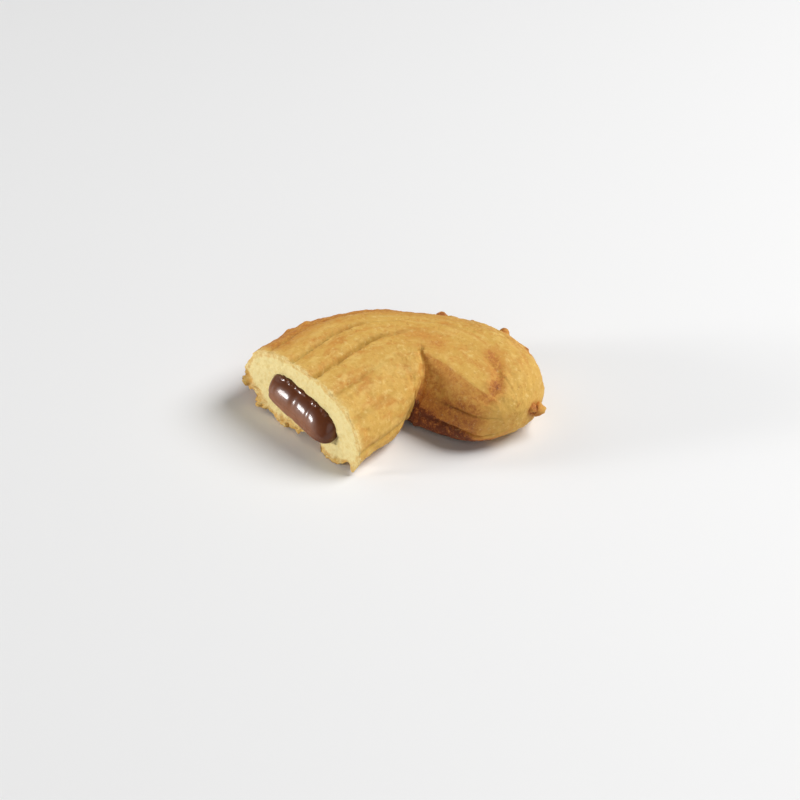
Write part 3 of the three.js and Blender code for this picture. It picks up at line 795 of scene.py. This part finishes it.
# It comes out in pushes, which leave waists and swells round the roll: distance from the inner side, length and
# height. It is drawn along in fine ripples on its lower side, and along the top it tears off in small beads.
PUSHES = ((12.4, 0.65, -0.13), (9.5, 0.32, -0.05), (16.6, 0.50, -0.05), (7.9, 1.4, 0.14))
RIPPLE_HEIGHT = 0.06
BEADS = 30
BEAD_SPAN = (0.24, 0.80)  # half turns round the core
BEAD_HEIGHT = 1.2
LOW_SWELLS = (1.15, 1.25)
LOW_SWELL_HEIGHT, LOW_SWELL_RADIUS = 0.14, 0.8


def on_mouth(angle):
    """The place on the edge of the mouth at an angle round the core."""
    return INNER_CORNER + core_ring(0, np.array((angle,)))[0]


places, normals = read_points(cream)
aside = (places - cut_place) @ cut_across
proud = smooth((places - cut_place) @ cut_normal, -0.1, 0.7)
swell = sum(height * np.exp(-((aside - middle) / length) ** 2) for middle, length, height in PUSHES) * proud
below = CHANNEL_MIDDLE + CHANNEL_TILT * (aside - WIDTHS[0] / 2 - CHANNEL_SHIFT) - places[:, 2]
swell += RIPPLE_HEIGHT * np.sin(below * 5.5 + 0.5 * np.sin(aside * 0.9)) * proud * smooth(below, 0.2, 0.9)
bead_angles = np.sort(chance.uniform(*BEAD_SPAN, BEADS)) * math.pi
beads = np.zeros(len(places))
for angle in bead_angles:
    radius = chance.uniform(0.16, 0.3)
    centre = on_mouth(angle) + cut_normal * chance.uniform(0.1, 0.4)
    beads = np.maximum(beads, BEAD_HEIGHT * radius * nearness(places, centre, radius))
swell += beads
for half_turns in LOW_SWELLS:
    swell += LOW_SWELL_HEIGHT * nearness(places, on_mouth(half_turns * math.pi), LOW_SWELL_RADIUS)
write_points(cream, places + normals * swell[:, None])
# Painted shade: the end of the roll by the inner side and its upper part are marked to be darkened.
keep_values(cream, "shaded", 1 - smooth(aside, 5.5, 9.5) * smooth(below, -1.6, 0.6))

CREAM_SHADE = (0.125, 0.035, 0.012, 1)
CREAM_BROWN = (0.230, 0.078, 0.028, 1)
CREAM_LIGHT = (0.300, 0.118, 0.052, 1)
glossy, tree, surface, place = new_material("glossy_cocoa_cream")
tone = spread(tree, noise(tree, place, 2.0, 3), 0.35, 0.65)
cocoa = blend(tree, tone, CREAM_BROWN, CREAM_LIGHT)
surface.inputs["Coat Weight"].default_value = 0.4
surface.inputs["Coat Roughness"].default_value = 0.05
# The cocoa is darkened with painted shade where the roll is marked as shaded.
finish_surface(
    tree, surface, colour=blend(tree, kept_value(tree, "shaded"), cocoa, CREAM_SHADE),
    roughness=spread(tree, noise(tree, place, 1.2, 3), 0.3, 0.7, 0.28, 0.38), specular=0.22,
    relief=noise(tree, place, 1.1, 2), strength=0.25, depth=0.08,
)
cream.data.materials.clear()
cream.data.materials.append(glossy)
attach(cream, "root")
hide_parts("cocoa_cream")


# ---------------------------------------------------------------------------------------------
# The table, the light and the camera of the photograph. A low light stands on the left, with a small one
# beside it for the glints on the cream, and a broad one hangs high on the right. Weak ones fill in from
# behind and from in front, and the camera looks down from in front.
# ---------------------------------------------------------------------------------------------
TABLE_SIZE = 4  # metres
TABLE_DROP = 0.02
bpy.ops.object.select_all(action="DESELECT")
bpy.ops.mesh.primitive_plane_add(size=TABLE_SIZE, location=(0, 0, -TABLE_DROP * MM))
floor = bpy.context.object
floor.name = "pale_table"
table_top, _, surface, _ = new_material("pale_table_top")
surface.inputs["Base Color"].default_value = (0.86, 0.86, 0.86, 1)
surface.inputs["Roughness"].default_value = 0.7
surface.inputs["Specular IOR Level"].default_value = 0.2
floor.data.materials.append(table_top)

world = bpy.data.worlds.new("studio")
bpy.context.scene.world = world
world.use_nodes = True
world.node_tree.nodes["Background"].inputs["Color"].default_value = (1.0, 0.99, 0.97, 1)
world.node_tree.nodes["Background"].inputs["Strength"].default_value = 0.04

# The lights' azimuth and elevation in degrees, distance and size in metres, and power.
LIGHTS = (
    ("low_left", 190, 11, 0.6, 0.14, 1.55),
    ("glint", 191, 10, 0.6, 0.05, 0.55),
    ("high_right", 12, 52, 0.6, 0.4, 3.75),
    ("left_back", 150, 35, 0.6, 0.4, 0.35),
    ("front_fill", 275, 30, 0.6, 0.5, 0.65),
)
for name, azimuth, elevation, away, size, power in LIGHTS:
    azimuth, elevation = math.radians(azimuth), math.radians(elevation)
    level_way = Vector((math.cos(azimuth), math.sin(azimuth), 0))
    way = level_way * math.cos(elevation) + Vector((0, 0, math.sin(elevation)))
    bpy.ops.object.light_add(type="AREA", location=way * away)
    light = bpy.context.object
    light.name = name
    light.rotation_euler = way.to_track_quat("Z", "Y").to_euler()
    light.data.shape = "DISK"
    light.data.size = size
    light.data.energy = power

# The camera is placed so that the inner corner falls on its own pixel of the photograph, 800 pixels wide.
CAMERA_AWAY = 432.5
CAMERA_ELEVATION = math.radians(36.47)
CAMERA_ROLL = math.radians(2.84)
CAMERA_LENS = 140.1
PIXELS_PER_MM = 7.2
CORNER_PIXEL = (421.94, 436.44)
MIDDLE_PIXEL = 400
back = Vector((0, -math.cos(CAMERA_ELEVATION), math.sin(CAMERA_ELEVATION)))
upright = Vector((0, math.sin(CAMERA_ELEVATION), math.cos(CAMERA_ELEVATION)))
right = Vector((1, 0, 0))
camera_right = right * math.cos(CAMERA_ROLL) + upright * math.sin(CAMERA_ROLL)
camera_up = upright * math.cos(CAMERA_ROLL) - right * math.sin(CAMERA_ROLL)
corner = Vector(INNER_CORNER)
aim = (corner - camera_right * (CORNER_PIXEL[0] - MIDDLE_PIXEL) / PIXELS_PER_MM
       + camera_up * (CORNER_PIXEL[1] - MIDDLE_PIXEL) / PIXELS_PER_MM)
camera_place = corner + back * CAMERA_AWAY
bpy.ops.object.camera_add(location=camera_place * MM)
camera = bpy.context.object
camera.name = "photo_camera"
look = (aim - camera_place).normalized()
side = look.cross(camera_up).normalized()
camera.rotation_euler = Matrix((side, side.cross(look), -look)).transposed().to_euler()
camera.data.lens = CAMERA_LENS
camera.data.sensor_width = 36
camera.data.clip_start = 0.01
bpy.context.scene.camera = camera
bpy.context.scene.view_settings.view_transform = "Standard"
